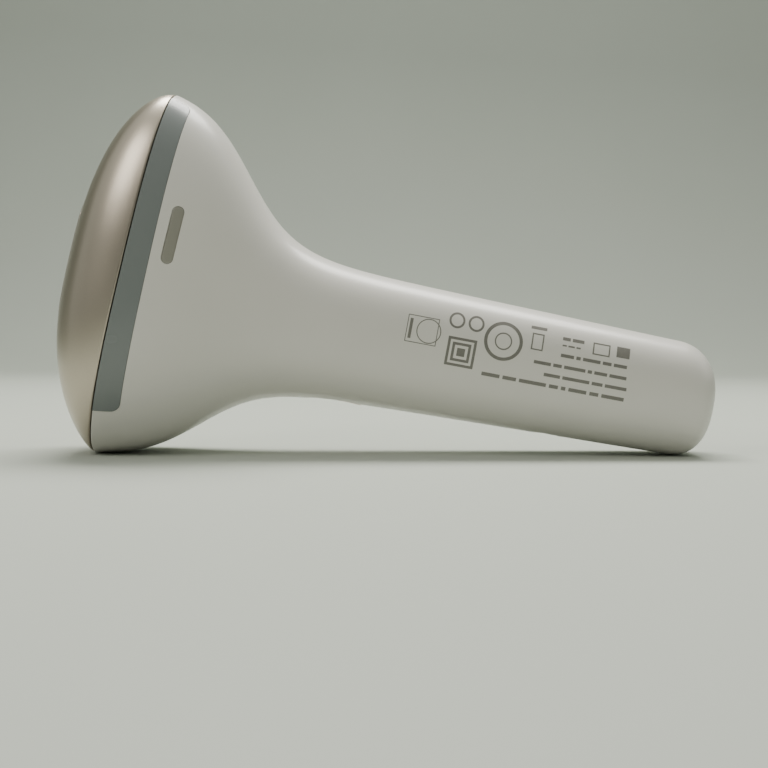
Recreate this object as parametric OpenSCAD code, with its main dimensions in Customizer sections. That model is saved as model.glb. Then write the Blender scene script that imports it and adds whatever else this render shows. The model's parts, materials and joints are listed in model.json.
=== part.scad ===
// IPL hair remover: a long tapering handle that flares into a tall domed head.
// Modelled lying on its edge, as it rests on a table: head at -X, handle end at +X, +Z up.
// The origin lies on the table, under the middle of the whole part.
// Most parts are drawn along the handle axis: x from the rim of the head to the handle end,
// y across, z up. Parts of the head are drawn square to the leaning rim (see in_head).

/* [Handle] */
// Length along the handle axis, from the rim of the head to the end face
handle_len = 179; // [170:1:190]
// Half height of the handle, where its straight edge would cross the rim
handle_half_h = 21.7; // [21:0.1:23]
// Half width of the handle, where its straight edge would cross the rim
handle_half_w = 17.6; // [17:0.1:19]
// Loss of half height per millimetre towards the handle end
handle_taper = 0.025; // [0.015:0.001:0.03]
// Wall of the white casing
wall = 2.2; // [2:0.1:2.4]

/* [Head] */
// How far the upper shoulder rises above the handle
upper_rise = 42.5; // [40:0.5:45]
// How far the lower shoulder drops below the handle
lower_rise = 28.5; // [27:0.5:31]
// How far each side of the head spreads beyond the handle
side_rise = 10; // [9:0.1:11]
// Lean of the rim away from square to the handle, in degrees
rim_lean = 2.5; // [1.5:0.1:3]
// Height of the window's centre above the handle axis
window_z = 6; // [4:0.5:8]

/* [Attachment] */
// Height of the champagne dome above the rim
dome_depth = 19.8; // [19.6:0.1:21]
// Length of the opening in the safety ring, along the head
window_len = 32; // [30:0.5:33]
// Width of the opening in the safety ring
window_wid = 14; // [12:0.5:15]
// Shadow gap between the dome and the casing
rim_gap = 0.35; // [0.3:0.05:0.5]

/* [Controls] */
// Travel of the safety ring, pressed by the skin
ring_travel = 1; // [0.6:0.1:1.2]
// Length of the flash button along the handle
flash_len = 18; // [16:0.5:20]
// Width of the flash button
flash_wid = 10; // [8:0.5:11]
// Radius of the power button
power_r = 4.5; // [4:0.1:4.8]

/* [Rest] */
// Slope of the handle when the part lies on its edge, in degrees
lay_tilt = 10.36; // [10:0.02:11.2]

/* [Hidden] */

$fn = 64;
cut = 0.5;            // how far a cutter runs past what it cuts
fit = 0.1;            // gap between neighbours that don't move
press_gap = 0.3;      // gap round a part that moves
big = 400;

// Colours
white = [0.93, 0.93, 0.91];
champagne = [0.76, 0.68, 0.60];
band_grey = [0.55, 0.60, 0.62];
lens_brown = [0.38, 0.36, 0.32];
board_green = [0.12, 0.38, 0.22];
metal = [0.75, 0.76, 0.78];
dark = [0.16, 0.16, 0.17];
copper = [0.72, 0.45, 0.28];

// ---- The casing's outer form, as functions of x along the handle axis ----
upper_mid = 28.3;     // x where the upper shoulder is half way down
upper_soft = 9;
lower_mid = 26.9;
lower_soft = 8.4;
side_mid = 24;
side_soft = 9;
side_taper = 0.012;
end_r_up = 11.5;      // corner radius at the handle end, upper edge
end_r_low = 8.5;      // lower edge
end_r_side = 5.5;     // both sides
lean_len = 50;        // stretch of the handle over which the rim's lean fades out
dome_mid = 5.9;       // height of the crest above the handle axis
dome_fall = 0.64;     // how the dome falls from crest to rim
dome_fall_swing = 0.11;
dome_power = 2.5;
dome_power_swing = 0.16;
head_narrowing = 0.1; // how much the head narrows towards its top
dome_full = 0.7;      // how much fuller the dome is across than along

function step(x, mid, soft) = 1 / (1 + exp((x - mid) / soft));
function past(x, r) = max(0, x - (handle_len - r));
// Loss of half size at x: the wall's inset, and the quarter circle at the handle end
function loss(x, r, inset) = past(x, r) == 0
    ? inset
    : r - sqrt(max(0, pow(r - inset, 2) - pow(past(x, r), 2)));
function half_h(x) = handle_half_h - handle_taper * x;
function top_z(x, inset = 0) =
    half_h(x) + upper_rise * step(x, upper_mid, upper_soft) - loss(x, end_r_up, inset);
function low_z(x, inset = 0) =
    loss(x, end_r_low, inset) - half_h(x) - lower_rise * step(x, lower_mid, lower_soft);
function side_y(x, inset = 0) = handle_half_w - side_taper * x
    + side_rise * step(x, side_mid, side_soft) - loss(x, end_r_side, inset);
function power_at(x) = 2.4 + 0.2 * step(x, 40, 8);
function bent(v, p) = sign(v) * pow(abs(v), 2 / p);
function lean_x(x, z) = tan(rim_lean) * (z - window_z) * pow(1 - min(max(x, 0), lean_len) / lean_len, 2);
// A point of the skin at x and at angle a round the section, inset below the surface
function skin(x, a, inset = 0) =
    let (top = top_z(x, inset), low = low_z(x, inset), p = power_at(x), up = bent(sin(a), p),
         z = (top + low) / 2 + (top - low) / 2 * up,
         narrowed = 1 - head_narrowing * up * (1 - min(max(x, 0), lean_len) / lean_len))
    [x + lean_x(x, z), side_y(x, inset) * bent(cos(a), p) * narrowed, z];

// A point of the dome in the direction a: s runs from 0 at the crest to 1 at the rim
function dome_point(s, a, inset) =
    let (rim = skin(0, a, inset),
         across = pow(cos(a), 2),
         fall = pow(max(0, 1 - pow(s, dome_power + dome_power_swing * sin(a) + dome_full * across)),
                    (dome_fall - dome_fall_swing * sin(a)) * (1 - 0.22 * across)),
         z = dome_mid + s * (rim[2] - dome_mid))
    [tan(rim_lean) * (z - window_z) - (dome_depth - inset) * fall, s * rim[1], z];

// Stations along the handle, closer where the form bends
function stations(from, to) = concat(
    [from],
    [for (x = [3 : 3 : 60]) if (x > from && x < to - 1) x],
    [for (x = [70 : 12 : handle_len - 14]) if (x > from && x < to - 1) x],
    [for (k = [0 : 7]) let (x = handle_len - 12 + 12 * sin(k * 90 / 7.4)) if (x < to - 0.3) x],
    [to]);

// Faces round m rings of n points each, the first point at index first
function wrap(first, n, m) = [for (i = [0 : 1 : m - 2], j = [0 : n - 1])
    let (a = first + i * n + j, b = first + i * n + (j + 1) % n, c = a + n, d = b + n)
    each [[a, b, d], [a, d, c]]];

// Closed solid through rings of points, all with the same number of points
module loft(rings) {
    n = len(rings[0]);
    m = len(rings);
    caps = [[for (j = [n - 1 : -1 : 0]) j], [for (j = [0 : n - 1]) (m - 1) * n + j]];
    polyhedron(points = [for (r = rings) each r], faces = concat(wrap(0, n, m), caps), convexity = 6);
}

module casing_form(inset, from, to, n = 48) {
    loft([for (x = stations(from, to)) [for (j = [n : -1 : 1]) skin(x, j * 360 / n, inset)]]);
}

// The casing's outside: like casing_form, with the side bands' recesses in its first stretch.
// The rings there hold extra points at the ends of each recess, at the falling angles in rim_turn.
module casing_outside() {
    turn = [for (k = [12 : -1 : -35]) 7.5 * k];
    rim_rings = [for (x = [0, band_cut / 2, band_cut])
        [for (a = rim_turn) skin(x, a, in_band(a) ? band_deep + 1.5 * fit : 0)]];
    body_rings = [for (x = stations(band_cut + 0.1, handle_len)) [for (a = turn) skin(x, a)]];
    p = len(rim_turn);
    q = len(turn);
    last_rim = 2 * p;
    first_body = 3 * p;
    joint = concat(
        [for (i = [0 : p - 1]) let (j = len([for (a = turn) if (a >= rim_turn[i]) a]) - 1)
            [last_rim + i, last_rim + (i + 1) % p, first_body + j]],
        [for (j = [0 : q - 1]) let (k = (j + 1) % q, i = search(turn[k], rim_turn)[0])
            [first_body + j, last_rim + i, first_body + k]]);
    m = len(body_rings);
    caps = [[for (j = [p - 1 : -1 : 0]) j], [for (j = [0 : q - 1]) first_body + (m - 1) * q + j]];
    polyhedron(points = concat([for (r = rim_rings) each r], [for (r = body_rings) each r]),
        faces = concat(wrap(0, p, 3), joint, wrap(first_body, q, m), caps), convexity = 6);
}

// One moulded skin out of several joined and cut shapes; its size stays as it is
module moulding() {
    resize([0, 0, 0]) children();
}

// Everything on one side of the mid plane: side is -1 for near, 1 for far
module one_side(side) {
    intersection() {
        children();
        translate([-big / 2, side < 0 ? -big : 0, -big / 2]) cube(big);
    }
}

// ---- Places ----
function laid_x(p) = p[0] * cos(lay_tilt) + p[2] * sin(lay_tilt);
function laid_z(p) = p[2] * cos(lay_tilt) - p[0] * sin(lay_tilt);
low_edge = [for (x = [0 : 1 : handle_len]) skin(x, 270)];
end_edge = [for (a = [0 : 5 : 90]) skin(handle_len - end_r_up * (1 - sin(a)), 90)];
dome_edge = [for (k = [0 : 3 : 90], a = [-90, 90]) dome_point(sin(k), a, 0)];
ground = min([for (p = low_edge) laid_z(p)]);
middle = (max([for (p = end_edge) laid_x(p)]) + min([for (p = dome_edge) laid_x(p)])) / 2;

module lying() {
    translate([-middle, 0, -ground]) rotate([0, lay_tilt, 0]) children();
}

// Square to the rim: x out of the back of the rim, z along the head, origin at the window's axis
module in_head() {
    translate([0, 0, window_z]) rotate([0, rim_lean, 0]) children();
}

// Slab across the head between two depths, from an outline drawn as [along the head, across]
module slab(from, to) {
    translate([from, 0, 0]) rotate([0, 90, 0]) linear_extrude(to - from) rotate(180) children();
}

module rounded(len_z, wid_y, r) {
    offset_x = len_z / 2 - r;
    offset_y = wid_y / 2 - r;
    union() {
        square([len_z, 2 * offset_y], center = true);
        square([2 * offset_x, wid_y], center = true);
        for (sx = [-1, 1], sy = [-1, 1]) translate([sx * offset_x, sy * offset_y]) circle(r);
    }
}

// Oblong with full round ends
module pill(length, width) {
    square([length - width, width], center = true);
    for (s = [-1, 1]) translate([s * (length - width) / 2, 0]) circle(width / 2);
}

// Rectangular sleeve with rounded corners round the light's path
module sleeve(from, to, len_z, wid_y, thick, r) {
    difference() {
        slab(from, to) rounded(len_z + 2 * thick, wid_y + 2 * thick, r + thick);
        slab(from - cut, to + cut) rounded(len_z, wid_y, r);
    }
}

// Outline of the rim, inset from the casing's surface, as [along the head, across]
module rim_outline(inset, n = 72) {
    polygon([for (j = [0 : n - 1]) let (p = skin(1, j * 360 / n, inset)) [p[2] - window_z, p[1]]]);
}

// ---- Casing ----
band_wid = 7;         // width of the coloured band along the rim
band_deep = 1.2;
band_cut = band_wid + fit;
band_up = 71;         // angles round the section where the band ends
band_low = -43;
lens_x = 12.4;         // centre of the ready light along the handle axis
lens_z = 19.5;
lens_len = 17;
lens_wid = 3.4;
flash_x = 66;         // centre of the flash button
power_x = 132;
cut_turn = 5;         // turns the round cut-outs' facets away from the casing's own edges
dot_first = 88;       // first intensity light
dot_pitch = 6;
dots = 5;
dot_r = 1.2;
plug_r = 3.15;        // inlet barrel, inside
cap_r = 6.4;          // end cap
cap_z = -2;
slot_count = 5;
plate_back = 3.2;     // back of the front plate, behind the rim
boss_z = 30;
boss_y = 16.4;

// Angles round the section, on the facets of the casing: one band, and the rim with both recesses
band_steps = [for (k = [-5 : 9]) 7.5 * k];
band_angles = concat([band_low], band_steps, [band_up]);
far_turn = concat([for (k = [-12 : -6]) 7.5 * k], [band_low - 0.4, band_low - 0.2], band_steps,
    [band_up + 0.2, band_up + 0.4], [for (k = [10 : 12]) 7.5 * k]);
last_turn = len(far_turn) - 1;
rim_turn = concat([for (j = [last_turn : -1 : 1]) far_turn[j]], [for (a = far_turn) if (a < 90) -180 - a]);
function in_band(a) =
    asin(sin(a)) > band_low - 0.3 && asin(sin(a)) < band_up + 0.3;
function mirrored(p, side) = [p[0], side * p[1], p[2]];

// Band of skin on one side, from band_deep below the surface up to it
module band_form(side) {
    n = len(band_angles) - 1;
    angles = [for (j = [0 : n]) band_angles[side < 0 ? j : n - j]];
    loft([for (x = [0, band_wid / 2, band_wid])
        concat([for (a = angles) mirrored(skin(x, a), side)],
               [for (j = [n : -1 : 0]) mirrored(skin(x, angles[j], band_deep), side)])]);
}

module ready_pill(side, extra, from, to) {
    translate([lens_x, 0, lens_z]) rotate([0, rim_lean, 0]) rotate([90, 0, 0])
        translate([0, 0, side < 0 ? from : -to]) linear_extrude(to - from)
            rotate(90) pill(lens_len + 2 * extra, lens_wid + 2 * extra);
}

// Oval prism through the underside of the handle, for the flash button
module flash_prism(extra, from, to) {
    translate([flash_x, 0, from]) linear_extrude(to - from)
        pill(flash_len + 2 * extra, flash_wid + 2 * extra);
}

// Air inlet behind the head and outlet near the handle end, both under the far side
module air_slots() {
    for (k = [0 : slot_count - 1]) {
        translate([14 + 4.4 * k, 3, -big / 4]) cube([1.8, 9, big / 4 - 22]);
        translate([144 + 3.6 * k, 3, -big / 4]) cube([1.4, 7, big / 4 - 10]);
    }
}

module casing_cuts(side) {
    $fn = 32;
    ready_pill(side, fit / 2, 5, big / 8);
    flash_prism(press_gap, -30, -14);
    translate([power_x, 0, -30]) rotate(cut_turn) cylinder(r = power_r + press_gap, h = 16);
    for (k = [0 : dots - 1]) translate([dot_first + k * dot_pitch, 0, -30]) rotate(cut_turn)
        cylinder(r = dot_r + 0.05, h = 16, $fn = 16);
    translate([handle_len - 6, 0, cap_z]) rotate([0, 90, 0]) cylinder(r = cap_r + 0.05, h = 12);
    if (side > 0) air_slots();
}

module plate_bosses(side) {
    in_head() for (sz = [-1, 1]) translate([plate_back + fit, side * boss_y, sz * boss_z])
        difference() {
            union() {
                rotate([0, 90, 0]) cylinder(r = 2.8, h = 10, $fn = 24);
                translate([0, side < 0 ? -9 : 2, -1]) cube([10, 7, 2]);
            }
            translate([-cut, 0, 0]) rotate([0, 90, 0]) cylinder(r = 1, h = 9, $fn = 24);
        }
}

module casing_half(side) {
    color(white) lying() moulding() one_side(side) difference() {
        union() {
            difference() {
                casing_outside();
                casing_form(wall, -1, handle_len - wall);
            }
            intersection() {
                casing_form(wall - 0.4, 0.5, 40);
                plate_bosses(side);
            }
        }
        casing_cuts(side);
    }
}

module near_casing() casing_half(-1);
module far_casing() casing_half(1);

module side_band(side) {
    color(band_grey) lying() moulding() band_form(side);
}
module near_side_band() side_band(-1);
module far_side_band() side_band(1);

module ready_lens(side) {
    color(lens_brown) lying() moulding() intersection() {
        casing_form(0.05, 0.5, 20);
        ready_pill(side, 0, 18, big / 8);
    }
}
module near_ready_lens() ready_lens(-1);
module far_ready_lens() ready_lens(1);

module ready_leds() {
    color("ivory") lying() for (side = [-1, 1], k = [-1, 1])
        translate([lens_x, side * 16.6, lens_z + 4 * k]) {
            cube([3, 1.4, 2], center = true);
            translate([0, -side * 1.05, -1.5 * k]) cube([4, 0.8, 6], center = true);
        }
}

// ---- Attachment: the domed cover with the treatment window ----
shell_wall = 1.8;
ring_wall = 2.65;     // safety ring, from its opening to its outside
bezel_wall = 0.7;
corner_r = 2.5;       // corners of the window
ring_face = -19.7;
crown_r = 185;        // crown of the safety ring along the head
flange_front = -15.2;
flange_depth = 1.2;
tunnel_front = flange_front + flange_depth + ring_travel + 0.2;
base_back = -2;
base_thick = 1.6;

module dome_form(inset, back, n = 60, rings = 13) {
    rim_ring = [for (j = [1 : n]) let (p = dome_point(1, j * 360 / n, inset)) [p[0] + back, p[1], p[2]]];
    loft(concat([rim_ring], [for (k = [0 : rings])
        let (t = 90 - k * 88 / rings) [for (j = [1 : n]) dome_point(sin(t), j * 360 / n, inset)]]));
}

module attachment_shell() {
    color(champagne) lying() moulding() difference() {
        intersection() {
            difference() {
                dome_form(0, 0.5);
                dome_form(shell_wall, 1);
            }
            in_head() translate([-big / 2 - rim_gap, 0, 0]) cube(big, center = true);
        }
        in_head() slab(-30, -8) rounded(bezel_len + 2 * bezel_wall + 0.1, bezel_wid + 2 * bezel_wall + 0.1, bezel_r);
    }
}
bezel_len = window_len + 2 * ring_wall + 2 * 0.35;
bezel_wid = window_wid + 2 * ring_wall + 2 * 0.35;
bezel_r = corner_r + ring_wall + 0.35 + bezel_wall;

module window_bezel() {
    $fn = 40;
    color(champagne) lying() moulding() intersection() {
        in_head() sleeve(-24, -15.6, bezel_len, bezel_wid, bezel_wall, bezel_r - bezel_wall);
        dome_form(-0.15, 0);
    }
}

module light_tunnel() {
    color(metal) lying() in_head() sleeve(tunnel_front, base_back, window_len + 1, window_wid + 1, 1, corner_r);
}

module attachment_base() {
    hole_gap = 1 + 0.5 + fit;
    color(white) lying() in_head() difference() {
        slab(base_back - base_thick, base_back) rim_outline(shell_wall + 2.8);
        slab(base_back - 3, base_back + 1)
            rounded(window_len + 2 * hole_gap, window_wid + 2 * hole_gap, corner_r + 1);
    }
}

hook_z = 33;
hook_wid = 10;
hook_thick = 1.6;
module snap_hooks() {
    color(white) lying() in_head() for (sz = [-1, 1]) {
        translate([base_back, -hook_wid / 2, sz * hook_z - hook_thick / 2]) cube([7, hook_wid, hook_thick]);
        translate([0, hook_wid / 2, sz * hook_z]) rotate([90, 0, 0]) linear_extrude(hook_wid)
            polygon([[3.6, 0], [5, 0], [5, sz * 1], [4.2, sz * 1.5]]);
    }
}

spring_y = 6;
spring_z = 20.3;
module ring_springs() {
    color(metal) lying() in_head() for (sy = [-1, 1], sz = [-1, 1])
        translate([-12.9, sy * spring_y, sz * spring_z]) rotate([0, 90, 0]) difference() {
            cylinder(r = 1.7, h = 9.2);
            translate([0, 0, -cut]) cylinder(r = 1.3, h = 9.2 + 2 * cut);
        }
}

module safety_switches() {
    color(dark) lying() in_head() for (sz = [-1, 1]) translate([-3.7, 0, sz * spring_z]) {
        translate([-3.9, 0, 0]) cube([7.6, 5, 3], center = true);
        translate([-9.2, 0, 0]) rotate([0, 90, 0]) cylinder(r = 0.8, h = 1.6);
    }
}

contact_z = -26.5;
contact_y = 4;
module contact_pads() {
    color("gold") lying() in_head() for (sy = [-1, 1])
        translate([base_back, sy * contact_y, contact_z]) rotate([0, 90, 0]) cylinder(r = 1.8, h = 0.4);
}

module safety_ring() {
    outer_r = corner_r + ring_wall;
    color(dark) lying() in_head() difference() {
        union() {
            intersection() {
                slab(ring_face - 1, flange_front + flange_depth)
                    rounded(window_len + 2 * ring_wall, window_wid + 2 * ring_wall, outer_r);
                translate([ring_face + crown_r, big / 2, 0]) rotate([90, 0, 0]) cylinder(r = crown_r, h = big, $fn = 256);
            }
            slab(flange_front, flange_front + flange_depth)
                rounded(window_len + 2 * ring_wall + 6, window_wid + 2 * ring_wall + 3, outer_r);
        }
        slab(ring_face - 2, flange_front + 2) rounded(window_len, window_wid, corner_r);
    }
}

// ---- Front of the head, behind the attachment ----
module front_plate() {
    color(white) lying() in_head() difference() {
        slab(1.2, plate_back) rim_outline(wall + 0.6);
        slab(0, 5) rounded(window_len + 8, window_wid + 8, corner_r + 2);
        for (sz = [-1, 1]) translate([0, -hook_wid / 2 - 0.6, sz * (hook_z + 0.5) - 2]) cube([5, hook_wid + 1.2, 4]);
        for (sy = [-1, 1]) translate([0, sy * contact_y, contact_z]) rotate([0, 90, 0]) cylinder(r = 1.3, h = 5);
        for (sy = [-1, 1], sz = [-1, 1])
            translate([0, sy * boss_y, sz * boss_z]) rotate([0, 90, 0]) cylinder(r = 1.3, h = 5);
    }
}

module front_screws() {
    color(metal) lying() in_head() for (sy = [-1, 1], sz = [-1, 1])
        translate([0, sy * boss_y, sz * boss_z]) rotate([0, 90, 0]) difference() {
            union() {
                cylinder(r = 2.1, h = 1.1);
                cylinder(r = 0.9, h = 9);
            }
            translate([0, 0, -cut]) cylinder(r = 1, h = 1.1, $fn = 6);
        }
}

module contact_pins() {
    color("gold") lying() in_head() for (sy = [-1, 1])
        translate([-0.9, sy * contact_y, contact_z]) rotate([0, 90, 0]) {
            cylinder(r = 0.7, h = 3);
            translate([0, 0, 1.8]) cylinder(r = 1.2, h = 3.6);
        }
}

frame_front = -1.5;
frame_back = 4.6;
module window_frame() {
    color(metal) lying() in_head() {
        sleeve(frame_front, frame_back, window_len, window_wid, 3, corner_r);
        sleeve(plate_back + fit, plate_back + 1.3, window_len + 5.9, window_wid + 5.9, 2.5, corner_r + 2.9);
    }
}

module filter_glass() {
    color("orange", 0.6) lying() in_head() slab(2, 4) rounded(window_len - fit, window_wid - fit, corner_r - fit / 2);
}

// ---- Lamp ----
lamp_x = 9.2;
lamp_r = 2.2;
trough_depth = 9;
trough_half = 6.1;
trough_front = 4.7;
module reflector() {
    outline = [for (k = [-8 : 8]) let (u = k / 8) [trough_front + trough_depth * (1 - u * u), u * trough_half]];
    back = [for (k = [8 : -1 : -8]) let (u = k / 8)
        [trough_front + (trough_depth + 0.7) * (1 - u * u), u * (trough_half + 0.7)]];
    color(metal) lying() in_head() translate([0, 0, -window_len / 2 + 0.2])
        linear_extrude(window_len - 0.4) polygon(concat(outline, back));
}

module flash_lamp() {
    color("lightcyan", 0.5) lying() in_head() translate([lamp_x, 0, -19.4]) cylinder(r = lamp_r, h = 38.8);
}

module lamp_electrodes() {
    color(metal) lying() in_head() for (sz = [-1, 1]) translate([lamp_x, 0, sz * 19.4]) rotate([sz < 0 ? 180 : 0, 0, 0]) {
        cylinder(r = 2.7, h = 6);
        cylinder(r = 0.8, h = 7.2);
    }
}

module lamp_holders() {
    color("white") lying() in_head() for (sz = [-1, 1]) difference() {
        translate([10.7, 0, sz * 22.4]) cube([8.3, 9, 4], center = true);
        translate([lamp_x, 0, sz * 22.4 - 3]) cylinder(r = 2.75, h = 6);
    }
}

module lamp_carrier() {
    color(dark) lying() in_head() difference() {
        translate([4.8, -11.4, -28]) cube([12, 22.8, 56]);
        translate([4, -10.2, -26.8]) cube([10.9, 20.4, 53.6]);
    }
}

module heat_sink() {
    color(metal) lying() in_head() {
        translate([16.9, -10.5, -24]) cube([2, 21, 48]);
        for (k = [0 : 9]) translate([18.9, -10.5, -24 + k * 47 / 9]) cube([8, 21, 1]);
    }
}

// ---- Fan in the neck ----
fan_x = 36;
fan_z = 1;
fan_thick = 8;
blades = 7;
module at_fan() {
    translate([fan_x, 0, fan_z]) rotate([0, 90, 0]) children();
}

module fan_frame() {
    color(dark) lying() at_fan() difference() {
        union() {
            difference() {
                linear_extrude(fan_thick) rounded(26, 26, 3);
                translate([0, 0, -cut]) cylinder(r = 11.8, h = fan_thick + 2 * cut);
            }
            translate([0, 0, fan_thick - 1.4]) cylinder(r = 4.6, h = 1.4);
            for (k = [0 : 2]) rotate(k * 120 + 30) translate([4, -0.8, fan_thick - 1.4]) cube([8.4, 1.6, 1.4]);
        }
        translate([0, 0, fan_thick - 3]) cylinder(r = 0.8, h = 5);
        for (k = [0 : 3]) rotate(k * 90 + 45) translate([15.2, 0, -cut]) cylinder(r = 0.9, h = fan_thick + 2 * cut);
    }
}

module fan_rotor() {
    color(dark) lying() at_fan() {
        translate([0, 0, 0.5]) cylinder(r = 4.5, h = 5.7);
        translate([0, 0, 1]) cylinder(r = 0.75, h = fan_thick - 1.2);
        for (k = [0 : blades - 1]) rotate(k * 360 / blades)
            translate([4, 0, 3.3]) rotate([38, 0, 0]) translate([0, -3, -0.35]) cube([7.1, 6, 0.7]);
    }
}

// ---- Power, in the handle ----
can_r = 10;
can_x = 67;
can_len = 54;
can_z = 3.8;
board_top = -8.2;
control_low = -12.4;
module along_can() {
    translate([can_x, 0, can_z]) rotate([0, 90, 0]) children();
}

module main_capacitor() {
    color(metal) lying() along_can() {
        cylinder(r = can_r, h = can_len);
        translate([0, 0, -2]) cylinder(r = can_r - 1.5, h = 3);
        for (sy = [-1, 1]) translate([0, sy * 4, -4.5]) cylinder(r = 0.6, h = 4);
    }
}

module capacitor_sleeve() {
    color("darkslateblue") lying() along_can() difference() {
        cylinder(r = can_r + 0.35, h = can_len);
        translate([0, 0, -cut]) cylinder(r = can_r + 0.02, h = can_len + 2 * cut);
    }
}

module capacitor_cradle() {
    color(dark) lying() for (x = [can_x + 5, can_x + can_len - 11]) difference() {
        translate([x, -8, board_top + 0.05]) cube([6, 16, 4.6]);
        translate([x - 1, 0, can_z]) rotate([0, 90, 0]) cylinder(r = can_r + 0.4, h = 8);
    }
}

module power_board() {
    color(board_green) lying() {
        translate([50, -10, board_top - 1.4]) cube([98, 20, 1.4]);
        translate([62, 2, board_top - 2.4]) cube([8, 6, 1.1]);
        translate([76, -7, board_top - 2.4]) cube([6, 4, 1.1]);
    }
}

module trigger_coil() {
    color(copper) lying() translate([51, 0, board_top + 5.3]) rotate([0, 90, 0]) {
        cylinder(r = 3.6, h = 10.5);
        cylinder(r = 5.2, h = 1.2);
        translate([0, 0, 9.3]) cylinder(r = 5.2, h = 1.2);
    }
}

module charge_transformer() {
    color(copper) lying() {
        translate([126, -7, board_top + 0.05]) cube([3.4, 14, 11]);
        translate([137, -7, board_top + 0.05]) cube([3.4, 14, 11]);
        translate([129.3, 0, board_top + 5.6]) rotate([0, 90, 0]) cylinder(r = 5.2, h = 7.8);
    }
}

// ---- Controls, on the underside of the handle ----
module control_board() {
    color(board_green) lying() translate([57, -7.5, control_low]) cube([84, 15, 1]);
}

flash_flange = -16.6;
power_flange = -14.8;
flange_thick = 0.7;
module tact_switches() {
    color(dark) lying() {
        for (site = [[flash_x, flash_flange + flange_thick + 1.1], [power_x, power_flange + flange_thick + 0.8]])
            translate([site[0], 0, 0]) {
                translate([-3, -3, site[1] + 0.4]) cube([6, 6, control_low - site[1] - 0.4]);
                translate([0, 0, site[1]]) cylinder(r = 1.5, h = 0.6);
            }
    }
}

module intensity_leds() {
    color("ivory") lying() for (k = [0 : dots - 1])
        translate([dot_first + k * dot_pitch - 0.8, -0.6, control_low - 0.7]) cube([1.6, 1.2, 0.7]);
}

module intensity_light_guide() {
    span = (dots - 1) * dot_pitch;
    color("white", 0.7) lying() {
        translate([dot_first - 2, -2, -14.6]) cube([span + 4, 4, 1.2]);
        for (k = [0 : dots - 1]) let (x = dot_first + k * dot_pitch)
            translate([x, 0, low_z(x) + 0.1]) cylinder(r = dot_r, h = -14 - low_z(x) - 0.1);
    }
}

// The buttons' outer faces follow the round of the handle
button_round = 19;
module button_skin(x) {
    translate([x - 20, 0, low_z(x) + button_round + 0.15]) rotate([0, 90, 0]) cylinder(r = button_round, h = 40, $fn = 128);
}

module flash_button() {
    color(champagne) lying() {
        intersection() {
            flash_prism(0, -30, flash_flange + flange_thick);
            button_skin(flash_x);
        }
        flash_prism(1.4, flash_flange, flash_flange + flange_thick);
    }
}

module power_button() {
    color(band_grey) lying() {
        intersection() {
            translate([power_x, 0, -30]) cylinder(r = power_r, h = 30 + power_flange + flange_thick);
            button_skin(power_x);
        }
        translate([power_x, 0, power_flange]) cylinder(r = power_r + 1.2, h = flange_thick);
    }
}

// ---- Handle end ----
socket_r = 5.2;
socket_back = 165;
socket_front = handle_len - 1.9;
pin_back = socket_back + 2.55;
pin_tip = handle_len - 3.6;
module at_socket(x) {
    translate([x, 0, cap_z]) rotate([0, 90, 0]) children();
}

module end_cap() {
    color(white) lying() difference() {
        at_socket(handle_len - 1.8) cylinder(r = cap_r, h = 1.8);
        at_socket(handle_len - 3) cylinder(r = plug_r + 0.3, h = 4);
    }
}

module dc_socket() {
    color(dark) lying() difference() {
        at_socket(socket_back) cylinder(r = socket_r, h = socket_front - socket_back);
        at_socket(socket_back + 2.5) cylinder(r = plug_r, h = 20);
        at_socket(socket_back - 1) cylinder(r = 0.85, h = 5);
    }
}

module dc_centre_pin() {
    color("gold") lying() {
        at_socket(socket_back - 1) cylinder(r = 0.8, h = 4);
        at_socket(pin_back) cylinder(r = 1.05, h = pin_tip - pin_back);
    }
}

// Round lead through a row of points, each [x, y, z]
module lead(route, r, n = 8) {
    last = len(route) - 1;
    function heading(i) = route[min(i + 1, last)] - route[max(i - 1, 0)];
    rings = [for (i = [0 : last]) let (d = heading(i) / norm(heading(i)), u = cross(d, [0, 1, 0.01]),
        v = u / norm(u), w = cross(d, v))
        [for (j = [0 : n - 1]) route[i] + r * (v * cos(j * 360 / n) - w * sin(j * 360 / n))]];
    loft(rings);
}

module inlet_leads() {
    color("firebrick") lying() for (side = [-1, 1])
        lead([[164.8, 2 * side, -3], [161, 2.5 * side, -3.5], [156, 4 * side, -5], [152, 6 * side, -6.5],
              [147, 7 * side, -7.2], [143, 7.6 * side, -7.4]], 0.7);
}

module lamp_leads() {
    color("firebrick") lying() {
        lead([[11, 0, 35.2], [13, 3, 36.8], [18, 9, 37], [24, 13.4, 32], [30, 14.5, 24], [36, 14.6, 14],
              [42, 14.6, 5], [46, 14.2, 0], [49.5, 12.4, -4], [53, 9.6, -6.6], [56, 8, -7.4]], 0.7);
        lead([[9, 0, -23.4], [11, -3, -24.6], [18, -9, -25.2], [25, -13.2, -22.5], [31, -14.5, -17],
              [37, -14.6, -12.3], [43, -14.2, -9.2], [47, -12.4, -7.6], [51, -9.6, -7.3], [56, -8, -7.4]], 0.7);
    }
}

near_casing();
far_casing();
near_side_band();
far_side_band();
near_ready_lens();
far_ready_lens();
ready_leds();
attachment_shell();
window_bezel();
light_tunnel();
attachment_base();
snap_hooks();
ring_springs();
safety_switches();
contact_pads();
safety_ring();
front_plate();
front_screws();
contact_pins();
window_frame();
filter_glass();
reflector();
flash_lamp();
lamp_electrodes();
lamp_holders();
lamp_carrier();
heat_sink();
fan_frame();
fan_rotor();
main_capacitor();
capacitor_sleeve();
capacitor_cradle();
power_board();
trigger_coil();
charge_transformer();
control_board();
tact_switches();
intensity_leds();
intensity_light_guide();
flash_button();
power_button();
end_cap();
dc_socket();
dc_centre_pin();
inlet_leads();
lamp_leads();
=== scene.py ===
import json
import math
import bpy
import numpy as np
from mathutils import Matrix, Vector
from mathutils.geometry import tessellate_polygon

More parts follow.
